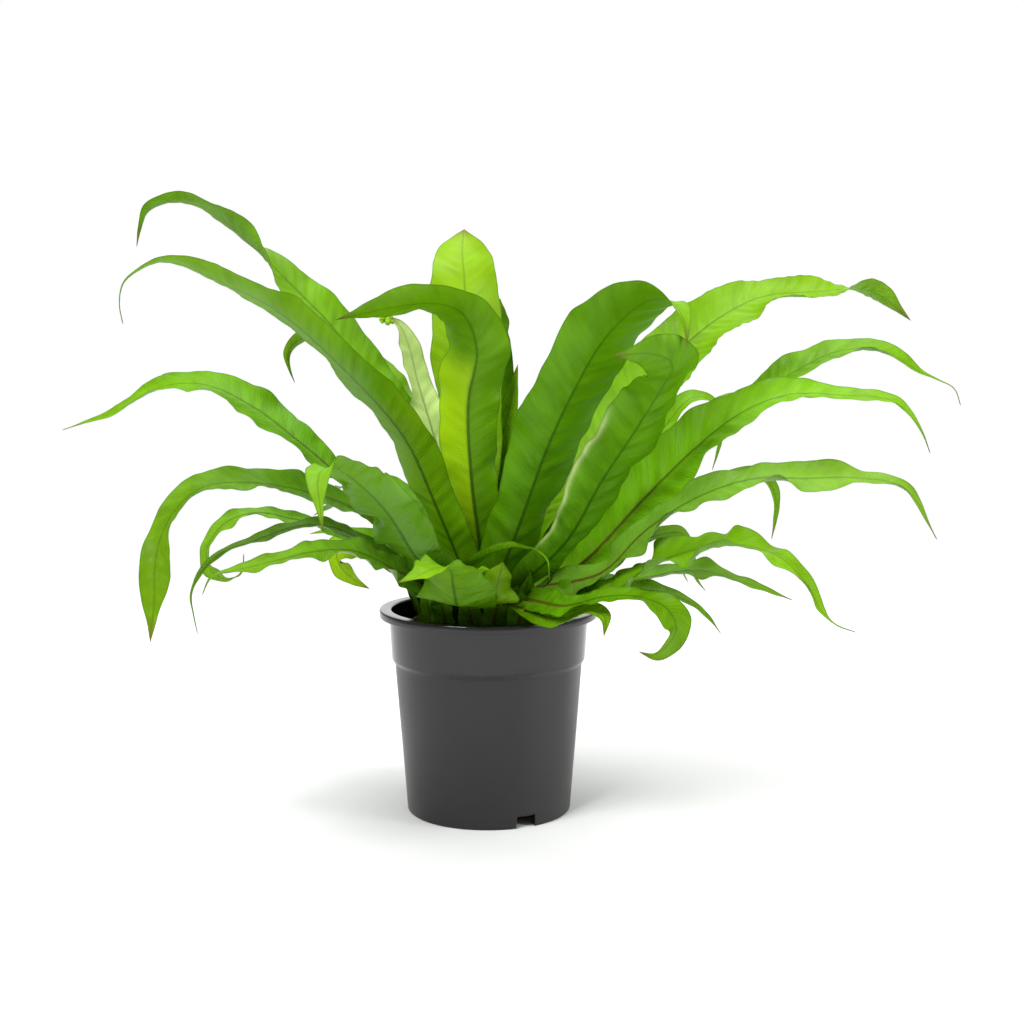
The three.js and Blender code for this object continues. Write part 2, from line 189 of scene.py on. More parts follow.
def attributeNode(tree, name):
    node = tree.nodes.new("ShaderNodeAttribute")
    node.attribute_name = name
    return node.outputs["Fac"]


def newMaterial(name, roughness, specular=0.5):
    material = bpy.data.materials.new(name)
    material.use_nodes = True
    shader = material.node_tree.nodes["Principled BSDF"]
    shader.inputs["Roughness"].default_value = roughness
    shader.inputs["Specular IOR Level"].default_value = specular
    return material, material.node_tree, shader


def placeGroup(tree, group, **values):
    node = tree.nodes.new("ShaderNodeGroup")
    node.node_tree = group
    for label, value in values.items():
        socket = node.inputs[label]
        if isinstance(value, (int, float, tuple)):
            socket.default_value = value
        else:
            tree.links.new(value, socket)
    return node.outputs


addStudio()
bpy.context.scene.view_settings.view_transform = "Standard"
print("studio ready")


# shared effects

def makeLeafPattern():
    # side veins that leave the midrib forwards, softer bands between them (colour streaks and painted pleat
    # shading), and the midrib itself
    tree, given, result = newGroup("leafPattern", [
        ("Along", "NodeSocketFloat", 0.0), ("Across", "NodeSocketFloat", 0.0),
        ("Half Width", "NodeSocketFloat", 0.02), ("Tone", "NodeSocketFloat", 0.5),
        ("Vein Spacing", "NodeSocketFloat", 0.0024), ("Rib Width", "NodeSocketFloat", 0.0013),
    ], [("Vein Lines", "NodeSocketFloat"), ("Bands", "NodeSocketFloat"), ("Rib", "NodeSocketFloat"),
        ("Margin", "NodeSocketFloat"), ("Mottle", "NodeSocketFloat")])
    ask = given.outputs
    outward = mathNode(tree, "ABSOLUTE", ask["Across"])
    reach = mathNode(tree, "MULTIPLY", outward, ask["Half Width"])
    slant = mathNode(tree, "MULTIPLY_ADD", reach, -0.7, ask["Along"])
    turns = mathNode(tree, "DIVIDE", slant, ask["Vein Spacing"])
    wave = mathNode(tree, "SINE", mathNode(tree, "MULTIPLY", turns, 2 * math.pi))
    lines = mathNode(tree, "POWER", mathNode(tree, "MULTIPLY_ADD", wave, 0.5, 0.5), 3.0)
    tree.links.new(lines, result.inputs["Vein Lines"])
    spread = tree.nodes.new("ShaderNodeCombineXYZ")
    tree.links.new(mathNode(tree, "MULTIPLY", slant, 150.0), spread.inputs["X"])
    tree.links.new(mathNode(tree, "MULTIPLY", ask["Across"], 0.9), spread.inputs["Y"])
    tree.links.new(mathNode(tree, "MULTIPLY", ask["Tone"], 37.0), spread.inputs["Z"])
    tree.links.new(noiseNode(tree, 1.0, 2.0, 0.6, spread.outputs[0]), result.inputs["Bands"])
    blotch = tree.nodes.new("ShaderNodeCombineXYZ")
    tree.links.new(mathNode(tree, "MULTIPLY", ask["Along"], 22.0), blotch.inputs["X"])
    tree.links.new(mathNode(tree, "MULTIPLY", ask["Across"], 0.8), blotch.inputs["Y"])
    tree.links.new(mathNode(tree, "MULTIPLY", ask["Tone"], 91.0), blotch.inputs["Z"])
    tree.links.new(noiseNode(tree, 1.0, 4.0, 0.6, blotch.outputs[0]), result.inputs["Mottle"])
    ribShare = mathNode(tree, "DIVIDE", reach, ask["Rib Width"])
    rib = tree.nodes.new("ShaderNodeMapRange")
    rib.interpolation_type = "SMOOTHSTEP"
    rib.inputs["From Min"].default_value = 0.55
    rib.inputs["From Max"].default_value = 1.25
    rib.inputs["To Min"].default_value = 1.0
    rib.inputs["To Max"].default_value = 0.0
    tree.links.new(ribShare, rib.inputs["Value"])
    tree.links.new(rib.outputs["Result"], result.inputs["Rib"])
    edge = tree.nodes.new("ShaderNodeMapRange")
    edge.interpolation_type = "SMOOTHSTEP"
    edge.inputs["From Min"].default_value = 0.0
    edge.inputs["From Max"].default_value = 0.0013
    edge.inputs["To Min"].default_value = 1.0
    edge.inputs["To Max"].default_value = 0.0
    tree.links.new(mathNode(tree, "SUBTRACT", ask["Half Width"], reach), edge.inputs["Value"])
    tree.links.new(edge.outputs["Result"], result.inputs["Margin"])
    return tree


def makeWear():
    # dust, dull patches and fine scratches for anything moulded
    tree, given, result = newGroup("surfaceWear", [
        ("Patch Scale", "NodeSocketFloat", 18.0), ("Speck Scale", "NodeSocketFloat", 900.0),
    ], [("Patches", "NodeSocketFloat"), ("Specks", "NodeSocketFloat"), ("Scratches", "NodeSocketFloat")])
    place = tree.nodes.new("ShaderNodeTexCoord").outputs["Object"]
    patches = tree.nodes.new("ShaderNodeTexNoise")
    patches.inputs["Detail"].default_value = 5.0
    tree.links.new(place, patches.inputs["Vector"])
    tree.links.new(given.outputs["Patch Scale"], patches.inputs["Scale"])
    tree.links.new(patches.outputs["Fac"], result.inputs["Patches"])
    specks = tree.nodes.new("ShaderNodeTexVoronoi")
    tree.links.new(place, specks.inputs["Vector"])
    tree.links.new(given.outputs["Speck Scale"], specks.inputs["Scale"])
    near = mathNode(tree, "LESS_THAN", specks.outputs["Distance"], 0.13)
    tree.links.new(near, result.inputs["Specks"])
    stretch = tree.nodes.new("ShaderNodeMapping")
    stretch.inputs["Scale"].default_value = (1.0, 1.0, 14.0)
    tree.links.new(place, stretch.inputs["Vector"])
    scratch = noiseNode(tree, 60.0, 6.0, 0.7, stretch.outputs["Vector"])
    line = rampNode(tree, scratch, [(0.0, 0.0), (0.63, 0.0), (0.72, 1.0)])
    tree.links.new(line, result.inputs["Scratches"])
    return tree


leafPattern = makeLeafPattern()
surfaceWear = makeWear()


# frond materials

leafLook = {
    "deepGreen": (0.046, 0.160, 0.0006, 1),
    "freshGreen": (0.128, 0.385, 0.0020, 1),
    "paleGreen": (0.290, 0.520, 0.010, 1),
    "yellowGreen": (0.500, 0.740, 0.006, 1),
    "sheenGreyGreen": (0.170, 0.310, 0.045, 1),
    "paintedSheenGreen": (0.500, 0.640, 0.220, 1),
    "warmGreen": (0.190, 0.270, 0.001, 1),
    "ribBrown": (0.085, 0.028, 0.006, 1),
    "ribGreen": (0.022, 0.078, 0.001, 1),
    "tipBrown": (0.160, 0.090, 0.020, 1),
    # painted shade for the foot of each blade, over the stalk's own darker green
    "stalkShadeDark": (0.020, 0.078, 0.0010, 1),
    "glow": 0.31,               # share of light that passes through the blade
}


def leafMaterial(name, upper, roughness, specular):
    material, tree, shader = newMaterial(name, roughness, specular)
    along = attributeNode(tree, "bladeAlong")
    across = attributeNode(tree, "bladeAcross")
    half = attributeNode(tree, "bladeHalf")
    share = attributeNode(tree, "bladeShare")
    tone = attributeNode(tree, "frondTone")
    ribWidth = mathNode(tree, "MULTIPLY_ADD", share, -0.0011, 0.0017)
    marks = placeGroup(tree, leafPattern, **{
        "Along": along, "Across": across, "Half Width": half, "Tone": tone, "Rib Width": ribWidth})
    # painted shade: the bands lighten and darken the green in streaks, as the pleats would shade it, besides
    # some real streaking of colour
    pleatShadeBands = rampNode(tree, marks["Bands"], [(0.32, 0.0), (0.68, 1.0)])
    mottle = rampNode(tree, marks["Mottle"], [(0.3, 0.0), (0.7, 1.0)])
    fresh = mathNode(tree, "MULTIPLY_ADD", mottle, 0.50, attributeNode(tree, "frondFresh"))
    fresh = mathNode(tree, "MULTIPLY_ADD", pleatShadeBands, 0.40, fresh, clamp=True)
    body = mixColour(tree, fresh, leafLook["deepGreen"], leafLook["freshGreen"])
    lineDepth = rampNode(tree, along, [(0.2, 0.17), (0.4, 0.04)])
    lines = mathNode(tree, "MULTIPLY", marks["Vein Lines"], lineDepth)
    body = mixColour(tree, lines, body, leafLook["paleGreen"])
    warmth = mathNode(tree, "MULTIPLY", attributeNode(tree, "frondWarmth"), mottle)
    body = mixColour(tree, warmth, body, leafLook["warmGreen"])
    # painted sheen: a greyish tint stands in for the glossy reflection on the blade
    body = mixColour(tree, attributeNode(tree, "paintedSheenGrey"), body, leafLook["sheenGreyGreen"])
    # painted glow: yellow-green mixed in where light would shine through a backlit blade
    body = mixColour(tree, attributeNode(tree, "frondGlow"), body, leafLook["yellowGreen"])
    late = rampNode(tree, share, [(0.5, 0.0), (0.95, 0.16)])
    body = mixColour(tree, late, body, leafLook["paleGreen"] if upper else leafLook["yellowGreen"])
    # painted highlight: a whitish painted sheen, turned yellow by patchYellow, lightens a band on one side of
    # the blade
    patch = mixColour(tree, attributeNode(tree, "patchYellow"),
                      leafLook["paintedSheenGreen"], leafLook["yellowGreen"])
    body = mixColour(tree, attributeNode(tree, "paintedLightPatch"), body, patch)
    # painted shade: the foot of each blade, deep in the rosette, darkens towards the crown, over the stalk's
    # own darker green
    low = rampNode(tree, along, [(0.0, 0.8), (0.035, 0.42), (0.10, 0.0)])
    body = mixColour(tree, low, body, leafLook["stalkShadeDark"])
    ribFade = rampNode(tree, share, [(0.0, 0.95), (0.4, 0.75), (0.9, 0.3)])
    ribTone = mixColour(tree, rampNode(tree, share, [(0.3, 0.0), (0.62, 1.0)]),
                        leafLook["ribGreen"] if upper else leafLook["ribBrown"], leafLook["ribGreen"])
    body = mixColour(tree, mathNode(tree, "MULTIPLY", marks["Rib"], ribFade), body, ribTone)
    body = mixColour(tree, mathNode(tree, "MULTIPLY", marks["Margin"], 0.6), body, leafLook["deepGreen"])
    body = mixColour(tree, rampNode(tree, share, [(0.955, 0.0), (1.0, 0.85)]), body, leafLook["tipBrown"])
    tree.links.new(body, shader.inputs["Base Color"])
    dull = mathNode(tree, "MULTIPLY_ADD", mottle, 0.14, roughness - 0.05)
    tree.links.new(dull, shader.inputs["Roughness"])
    relief = mathNode(tree, "MULTIPLY_ADD", marks["Vein Lines"], 0.4, marks["Bands"])
    relief = mathNode(tree, "MULTIPLY", relief, rampNode(tree, along, [(0.14, 1.0), (0.27, 0.0)]))
    normal = bumpNode(tree, relief, 0.45 if upper else 0.55, 0.0007)
    tree.links.new(normal, shader.inputs["Normal"])
    through = tree.nodes.new("ShaderNodeBsdfTranslucent")
    tree.links.new(mixColour(tree, 0.45, body, leafLook["yellowGreen"]), through.inputs["Color"])
    tree.links.new(normal, through.inputs["Normal"])
    blend = tree.nodes.new("ShaderNodeMixShader")
    blend.inputs["Fac"].default_value = leafLook["glow"]
    tree.links.new(shader.outputs[0], blend.inputs[1])
    tree.links.new(through.outputs[0], blend.inputs[2])
    output = next(n for n in tree.nodes if n.type == "OUTPUT_MATERIAL")
    tree.links.new(blend.outputs[0], output.inputs["Surface"])
    return material


frondUpper = leafMaterial("frondUpper", True, 0.36, 0.2)
frondUnder = leafMaterial("frondUnder", False, 0.44, 0.12)
frondGlossy = leafMaterial("frondGlossy", True, 0.28, 0.42)
print("leaf materials ready")


# fronds

frondLook = {
    "stationStep": 0.0022,      # metres between cross-sections
    "acrossCount": 25,
    "bladeThickness": 0.0005,
    "ribThickness": 0.0016,
    "ruffle": 0.13,             # height of the waves at the margin, as a share of the half width
    "ruffleLength": 0.052,
    "pleat": 0.0005,            # height of the folds along the side veins
    "pleatLength": 0.0105,
    "marginWander": 0.05,
    "footDepth": 0.012,         # how far the stalk runs down into the crown
    "wing": 0.75,               # how much the blade's wings widen the stalk near the crown
    "fullness": 1.0,            # width against the plain blade
    "tone": None,
    "glow": 0.0,
    "warmth": 0.12,
    "grey": 0.0,
    "glossy": False,
    "paleSide": 0,              # a band of painted highlight on one side, whitish sheen by default and yellow where patchYellow is set: its side, stretch, depth and inner limit
    "paleFrom": 0.2,
    "paleTo": 0.6,
    "paleDepth": 0.0,
    "paleInner": 0.5,
    "patchYellow": 0.0,
    "fresh": 0.0,
}

# what differs from frond to frond; colours are shares of glow (a painted yellow glow of light through the
# blade), warmth (olive) and grey (a painted greyish sheen)
frondCharacter = {
    "frond_left_tall": dict(glow=0.06, fresh=-0.1, ruffle=0.16, ruffleLength=0.08),
    "frond_left_long": dict(warmth=0.45, fresh=0.4, glow=0.07, ruffle=0.13, ruffleLength=0.085),
    "frond_left_wide": dict(fresh=0.12, ruffle=0.2, ruffleLength=0.07, glossy=True),
    "frond_left_droop": dict(fresh=-0.35, ruffle=0.26, ruffleLength=0.075, tone=0.0),
    "frond_left_nod": dict(fresh=0.5, ruffle=0.34, ruffleLength=0.045, grey=0.3, glossy=True),
    "frond_left_curl": dict(ruffle=0.4, ruffleLength=0.042, grey=0.15),
    "frond_left_thread": dict(ruffle=0.3, ruffleLength=0.05, grey=0.1),
    "frond_left_wavy": dict(ruffle=0.42, ruffleLength=0.046, grey=0.2, glossy=True),
    "frond_left_low": dict(glow=0.4),
    "frond_left_arch": dict(glow=0.12),
    "frond_centre_tall": dict(glow=0.22, fresh=-0.2, ruffle=0.12, ruffleLength=0.09),
    "frond_centre_bent": dict(glow=0.09, fresh=0.15, ruffle=0.16, ruffleLength=0.06, pleat=0.0004,
                              paleSide=-1, paleFrom=0.12, paleTo=0.62, paleDepth=0.75, paleInner=0.0,
                              patchYellow=1.0),
    "frond_centre_crozier": dict(grey=0.3, glossy=True, pleat=0.0008, paleFrom=0.1, paleTo=1.05, paleDepth=0.95,
                                 paleInner=-1.3, fullness=1.35, ruffle=0.3, ruffleLength=0.05),
    "frond_centre_dark": dict(glow=0.05),
    "frond_right_broad": dict(warmth=0.15, fresh=0.2, pleat=0.0010, pleatLength=0.019, ruffle=0.12,
                              ruffleLength=0.09),
    "frond_right_folded": dict(fresh=0.15, pleat=0.0014, pleatLength=0.017, warmth=0.1, ruffle=0.14,
                               ruffleLength=0.07, paleSide=-1, paleFrom=0.2, paleTo=0.66, paleDepth=0.95,
                               paleInner=0.8),
    "frond_right_pleated": dict(pleat=0.0013, pleatLength=0.0095, glow=0.12, ruffle=0.14, ruffleLength=0.08),
    "frond_right_high": dict(ruffle=0.24, ruffleLength=0.085, fresh=-0.1),
    "frond_right_arch": dict(warmth=0.0, fresh=0.16, glow=0.05, ruffle=0.14, ruffleLength=0.08, pleat=0.0013,
                             pleatLength=0.017),
    "frond_right_glossy": dict(ruffle=0.5, ruffleLength=0.075, grey=0.35, glossy=True),
    "frond_right_low": dict(ruffle=0.4, ruffleLength=0.06, glow=0.06),
    "frond_right_lower": dict(ruffle=0.4, ruffleLength=0.05, grey=0.2),
    "frond_right_curl": dict(ruffle=0.3, glow=0.0, ruffleLength=0.05),
    "frond_right_short": dict(ruffle=0.35, ruffleLength=0.05, grey=0.1),
    "frond_right_yellow": dict(glow=0.5),
    "frond_right_grey": dict(grey=0.3),
    "frond_front_fold": dict(ruffle=0.26, ruffleLength=0.042, warmth=0.5, fresh=0.25, fullness=0.88,
                             pleat=0.0009,
                             pleatLength=0.013, marginWander=0.12),
    "frond_front_curl": dict(ruffle=0.3, ruffleLength=0.04, glow=0.1, fresh=0.4),
    "frond_front_hang": dict(glow=0.12),
    "frond_front_stub": dict(ruffle=0.4, ruffleLength=0.03, glow=0.2),
}


def mergedPoints(node):
    mesh = node.data
    flat = np.empty(len(mesh.vertices) * 3)
    mesh.vertices.foreach_get("co", flat)
    places = flat.reshape(-1, 3)
    keys, index = np.unique(np.round(places * 1e6).astype(np.int64), axis=0, return_inverse=True)
    index = index.reshape(-1)
    merged = np.zeros((len(keys), 3))
    merged[index] = places
    beside = [set() for _ in keys]
    for polygon in mesh.polygons:
        corners = [int(index[v]) for v in polygon.vertices]
        for a, b in zip(corners, corners[1:] + corners[:1]):
            if a != b:
                beside[a].add(b)
                beside[b].add(a)
    return merged, beside


def layersFrom(start, beside):
    seen, layers = {start}, [[start]]
    while True:
        following = sorted({b for a in layers[-1] for b in beside[a]} - seen)
        if not following:
            return layers
        seen.update(following)
        layers.append(following)


def ringsOf(node):
    # a frond's CAD solid is a chain of four-point rings that ends in one point, its tip
    points, beside = mergedPoints(node)
    for start in range(len(points)):
        if len(beside[start]) != 4:
            continue
        layers = layersFrom(start, beside)
        if len(layers) > 4 and all(len(layer) == 4 for layer in layers[1:]):
            return [points[layer] for layer in layers[:0:-1]], points[start]
    raise ValueError("no rings in " + node.name)


def railsOf(node):
    # left edge, midrib and right edge of the blade, from foot to tip
    rings, tip = ringsOf(node)
    centres = np.array([ring.mean(0) for ring in rings] + [tip])
    aside = np.array([-centres[0][1], centres[0][0], 0.0])
    rails = []
    for i, ring in enumerate(rings):
        along = centres[i + 1] - centres[max(i - 1, 0)]
        along /= np.linalg.norm(along)
        if i:
            aside = aside - along * aside.dot(along)
        pairs = [(a, b) for a in range(4) for b in range(a + 1, 4)]
        a, b = max(pairs, key=lambda p: np.linalg.norm(ring[p[0]] - ring[p[1]]))
        if (ring[a] - ring[b]).dot(aside) < 0:
            a, b = b, a
        middle = np.mean([ring[k] for k in range(4) if k not in (a, b)], axis=0)
        rails.append((ring[a], middle, ring[b]))
        aside = ring[a] - ring[b]
    rails.append((tip, tip, tip))
    return np.array(rails)


def smoothRows(rows, count):
    # Catmull-Rom through evenly spaced rows
    padded = np.concatenate([[2 * rows[0] - rows[1]], rows, [2 * rows[-1] - rows[-2]]])
    place = np.linspace(0, len(rows) - 1, count)
    base = np.minimum(place.astype(int), len(rows) - 2)
    t = (place - base).reshape((-1,) + (1,) * (rows.ndim - 1))
    p0, p1, p2, p3 = (padded[base + k] for k in range(4))
    return 0.5 * (2 * p1 + (p2 - p0) * t + (2 * p0 - 5 * p1 + 4 * p2 - p3) * t * t
                  + (3 * p1 - p0 - 3 * p2 + p3) * t * t * t)


def smoothStep(low, high, value):
    t = np.clip((value - low) / (high - low), 0, 1)
    return t * t * (3 - 2 * t)


def acrossPlaces(count):
    # closer together at the midrib and at the margins
    t = np.linspace(-1, 1, count)
    return np.sign(t) * (0.55 * np.abs(t) ** 1.7 + 0.45 * np.sin(np.abs(t) * math.pi / 2))


def wander(rng, distance, length):
    # a smooth irregular wave of about unit height
    total = np.zeros_like(distance)
    for k, weight in ((1.0, 0.62), (1.73, 0.3), (2.9, 0.18)):
        total += weight * np.sin(2 * math.pi * distance * k / length + rng.uniform(0, 2 * math.pi))
    return total


def gridNormals(grid):
    tangent = np.gradient(grid, axis=0)
    sideways = np.gradient(grid, axis=1)
    normal = np.cross(tangent, sideways)
    size = np.linalg.norm(normal, axis=2, keepdims=True)
    return normal / np.maximum(size, 1e-12)


def makeBlade(label, node, rails, look):
    # one blade grown along its three rails, with ruffled margins, pleats and a raised midrib
    rng = np.random.default_rng(sum(ord(c) * (i + 3) for i, c in enumerate(label)))
    foot = rails[0] - np.array([0, 0, look["footDepth"]])
    centreStep = np.linalg.norm(np.diff(rails[:, 1], axis=0), axis=1)
    length = centreStep.sum()
    count = max(24, int(length / look["stationStep"]))
    rows = smoothRows(rails, count)
    rows = np.concatenate([[foot, (foot + rails[0]) / 2], rows])
    step = np.linalg.norm(np.diff(rows[:, 1], axis=0), axis=1)
    distance = np.concatenate([[0], np.cumsum(step)])
    share = distance / distance[-1]
    wing = 1 + look["wing"] * smoothStep(0.004, 0.02, distance) * (1 - smoothStep(0.05, 0.11, distance))
    rows = rows[:, 1:2] + (rows - rows[:, 1:2]) * (wing * look["fullness"])[:, None, None]
    left, middle, right = rows[:, 0], rows[:, 1], rows[:, 2]
    halfWidth = np.linalg.norm(left - right, axis=1) / 2
    u = acrossPlaces(look["acrossCount"])
    spread = np.ones((len(rows), len(u)))
    calm = smoothStep(0.05, 0.2, share) * (1 - smoothStep(0.94, 1, share))
    for sign in (-1, 1):
        edge = 1 + look["marginWander"] * calm * wander(rng, distance, look["ruffleLength"] * 0.8)
        spread[:, u * sign > 0] = edge[:, None]
    place = (u[None, :] * spread)[..., None]
    grid = middle[:, None] + (left - right)[:, None] / 2 * place \
        + ((left + right) / 2 - middle)[:, None] * place ** 2
    normal = -gridNormals(grid)
    size = halfWidth[:, None]
    outward = np.abs(u)[None, :]
    lift = np.zeros_like(spread)
    for sign in (-1, 1):
        wave = wander(rng, distance, look["ruffleLength"]) * look["ruffle"] * calm
        sided = (u * sign > 0)[None, :]
        lift += sided * wave[:, None] * size * outward ** 1.8
    slanted = distance[:, None] - 0.7 * outward * size
    fold = np.sin(2 * math.pi * slanted / look["pleatLength"] + rng.uniform(0, 6))
    swell = 0.6 + 0.4 * np.sin(2 * math.pi * slanted / (3.7 * look["pleatLength"]) + rng.uniform(0, 6))
    pleatShape = np.minimum(1, 4 * outward) * (1 - 0.5 * outward) * np.minimum(1, size / 0.016)
    lift += look["pleat"] * fold * swell * pleatShape * calm[:, None]
    surface = grid + normal * lift[..., None]
    normal = -gridNormals(surface)
    ribHalf = 0.0016 - 0.0010 * share[:, None]
    rib = np.exp(-(outward * size / ribHalf) ** 2)
    thin = look["bladeThickness"] * (1 - 0.5 * share[:, None]) * (1 - outward ** 6)
    ribSize = look["ribThickness"] * (1 - 0.75 * share[:, None])
    above = surface + normal * (thin / 2 + 0.22 * ribSize * rib)[..., None]
    below = surface - normal * (thin / 2 + 0.78 * ribSize * rib)[..., None]
    # the band of painted highlight on one side of the blade
    sideways = u[None, :] * (look["paleSide"] or 1)
    stretch = smoothStep(look["paleFrom"], look["paleFrom"] + 0.08, share) \
        * (1 - smoothStep(look["paleTo"] - 0.08, look["paleTo"], share))
    inward = smoothStep(look["paleInner"], look["paleInner"] + 0.12, sideways)
    pale = look["paleDepth"] * stretch[:, None] * inward
    fields = {"bladeAlong": distance[:, None], "bladeAcross": u[None, :], "bladeHalf": size,
              "bladeShare": share[:, None], "paintedLightPatch": pale}
    fields = {label: np.broadcast_to(values, spread.shape)[:-1] for label, values in fields.items()}
    shares = {"frondTone": rng.uniform(0, 1) if look["tone"] is None else look["tone"],
              "frondGlow": look["glow"], "frondWarmth": look["warmth"], "paintedSheenGrey": look["grey"],
              "patchYellow": look["patchYellow"], "frondFresh": look["fresh"]}
    upperMaterial = frondGlossy if look["glossy"] else frondUpper
    tip = surface[-1].mean(0)
    return buildBlade(label, node, above[:-1], below[:-1], tip, fields, shares, upperMaterial)


def buildBlade(label, node, above, below, tip, fields, shares, upperMaterial):
    rowCount, acrossCount = above.shape[:2]
    last = acrossCount - 1
    upper = np.arange(rowCount * acrossCount).reshape(rowCount, acrossCount)
    under = upper.copy()
    inner = np.arange(rowCount * (acrossCount - 2)).reshape(rowCount, -1)
    under[:, 1:last] = rowCount * acrossCount + inner
    tipIndex = rowCount * acrossCount + rowCount * (acrossCount - 2)
    points = np.concatenate([above.reshape(-1, 3), below[:, 1:last].reshape(-1, 3), [tip]])
    faces, slots = [], []
    for i in range(rowCount - 1):
        for j in range(last):
            faces.append((upper[i, j], upper[i, j + 1], upper[i + 1, j + 1], upper[i + 1, j]))
            faces.append((under[i, j + 1], under[i, j], under[i + 1, j], under[i + 1, j + 1]))
            slots += [0, 1]
    for j in range(last):
        faces.append((upper[-1, j], upper[-1, j + 1], tipIndex))
        faces.append((under[-1, j + 1], under[-1, j], tipIndex))
        slots += [0, 1]
    for j in range(1, last - 1):
        faces.append((upper[0, j + 1], upper[0, j], under[0, j], under[0, j + 1]))
        slots.append(1)
    faces.append((upper[0, 1], upper[0, 0], under[0, 1]))
    faces.append((upper[0, last], upper[0, last - 1], under[0, last - 1]))
    slots += [1, 1]
    mesh = bpy.data.meshes.new(label)
    mesh.from_pydata(points.tolist(), [], [[int(v) for v in f] for f in faces])
    mesh.materials.append(upperMaterial)
    mesh.materials.append(frondUnder)
    mesh.polygons.foreach_set("material_index", slots)
    mesh.polygons.foreach_set("use_smooth", [True] * len(faces))
    mesh.set_sharp_from_angle(angle=math.radians(70))
    for field, values in fields.items():
        tail = [values.reshape(-1)[-1]]
        flat = np.concatenate([values.reshape(-1), values[:, 1:last].reshape(-1), tail])
        mesh.attributes.new(field, "FLOAT", "POINT").data.foreach_set("value", flat.astype(np.float32))
    for field, value in shares.items():
        mesh.attributes.new(field, "FLOAT", "POINT").data.foreach_set("value", [value] * len(points))
    blade = bpy.data.objects.new(label, mesh)
    bpy.context.scene.collection.objects.link(blade)
    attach(blade, "root")
    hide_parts(node)
    return blade


def makeFrond(name):
    look = {**frondLook, **frondCharacter.get(name, {})}
    rails = railsOf(nodes[name])
    makeBlade(name + "_blade", name, rails, look)
    return rails


frondRails = {name: makeFrond(name) for name in sorted(nodes) if name.startswith("frond_")}
print("fronds ready")


def meshFromGrid(name, points, faces, materials, slots=None):
    mesh = bpy.data.meshes.new(name)
    mesh.from_pydata([tuple(p) for p in points], [], faces)
    for material in materials:
        mesh.materials.append(material)
    if slots is not None:
        mesh.polygons.foreach_set("material_index", slots)
    mesh.polygons.foreach_set("use_smooth", [True] * len(faces))
    piece = bpy.data.objects.new(name, mesh)
    bpy.context.scene.collection.objects.link(piece)
    return piece


# the crozier's unrolled tip is a small cluster of green beads
knobLook = {
    "beadCount": 22,
    "spread": 0.0050,
    "smallest": 0.0011,
    "largest": 0.0024,
    "offset": (-0.001, -0.004, -0.0028),
}


def ballPoints(rings, sides):
    points = [(0.0, 0.0, 1.0)]
    for i in range(1, rings):
        polar = math.pi * i / rings
        points += [(math.sin(polar) * math.cos(2 * math.pi * k / sides),
                    math.sin(polar) * math.sin(2 * math.pi * k / sides), math.cos(polar)) for k in range(sides)]
    points.append((0.0, 0.0, -1.0))
    faces = [(0, 1 + k, 1 + (k + 1) % sides) for k in range(sides)]
    for i in range(rings - 2):
        a = 1 + i * sides
        b = a + sides
        faces += [(a + k, b + k, b + (k + 1) % sides, a + (k + 1) % sides) for k in range(sides)]
    a = 1 + (rings - 2) * sides
    faces += [(a + k, len(points) - 1, a + (k + 1) % sides) for k in range(sides)]
    return np.array(points), faces


def makeKnob():
    rng = np.random.default_rng(5)
    ball, ballFaces = ballPoints(10, 16)
    tip = frondRails["frond_centre_crozier"][-1, 1] + np.array(knobLook["offset"])
    points, faces = [], []
    for k in range(knobLook["beadCount"]):
        offset = rng.normal(0, 1, 3)
        offset *= knobLook["spread"] * rng.uniform(0.2, 1) / np.linalg.norm(offset)
        radius = rng.uniform(knobLook["smallest"], knobLook["largest"])
        start = len(points)
        dents = 1 + 0.06 * np.sin(5 * ball[:, 0] + k) * np.cos(6 * ball[:, 2])
        points += (ball * radius * dents[:, None] + tip + offset * (1.25, 1, 0.8)).tolist()
        faces += [tuple(start + v for v in face) for face in ballFaces]
    knob = meshFromGrid("crozierKnob", points, faces, [frondUpper])
    plain = {"bladeAlong": 0.3, "bladeHalf": 0.01, "bladeShare": 0.6, "bladeAcross": 0.5,
             "paintedLightPatch": 0.1, "frondTone": 0.6, "frondGlow": 0.3, "frondWarmth": 0.3,
             "paintedSheenGrey": 0.1, "patchYellow": 1.0, "frondFresh": 0.2}
    for field, value in plain.items():
        knob.data.attributes.new(field, "FLOAT", "POINT").data.foreach_set("value", [value] * len(points))
    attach(knob, "root")
    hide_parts("frond_centre_crozier")


makeKnob()


# pot

potLook = {
    "sides": 168,
    "wall": 0.0018,
    "footRadius": 0.064,
    "bodyTopRadius": 0.073,
    "stepHeight": 0.1165,
    "collarFoot": 0.120,
    "collarRadius": 0.0775,
    "lipDepth": 0.006,
    "floorHeight": 0.006,
    "corner": 0.0012,           # rounding of the moulded edges
    "unevenness": 0.00012,
    "notchCount": 3,
    "notchWidth": 0.0166,
    "notchHeight": 0.010,
    "firstNotch": -63.0,
    "colour": (0.0036, 0.0038, 0.0040, 1),
    "dustColour": (0.10, 0.095, 0.085, 1),
    "roughness": 0.34,
}


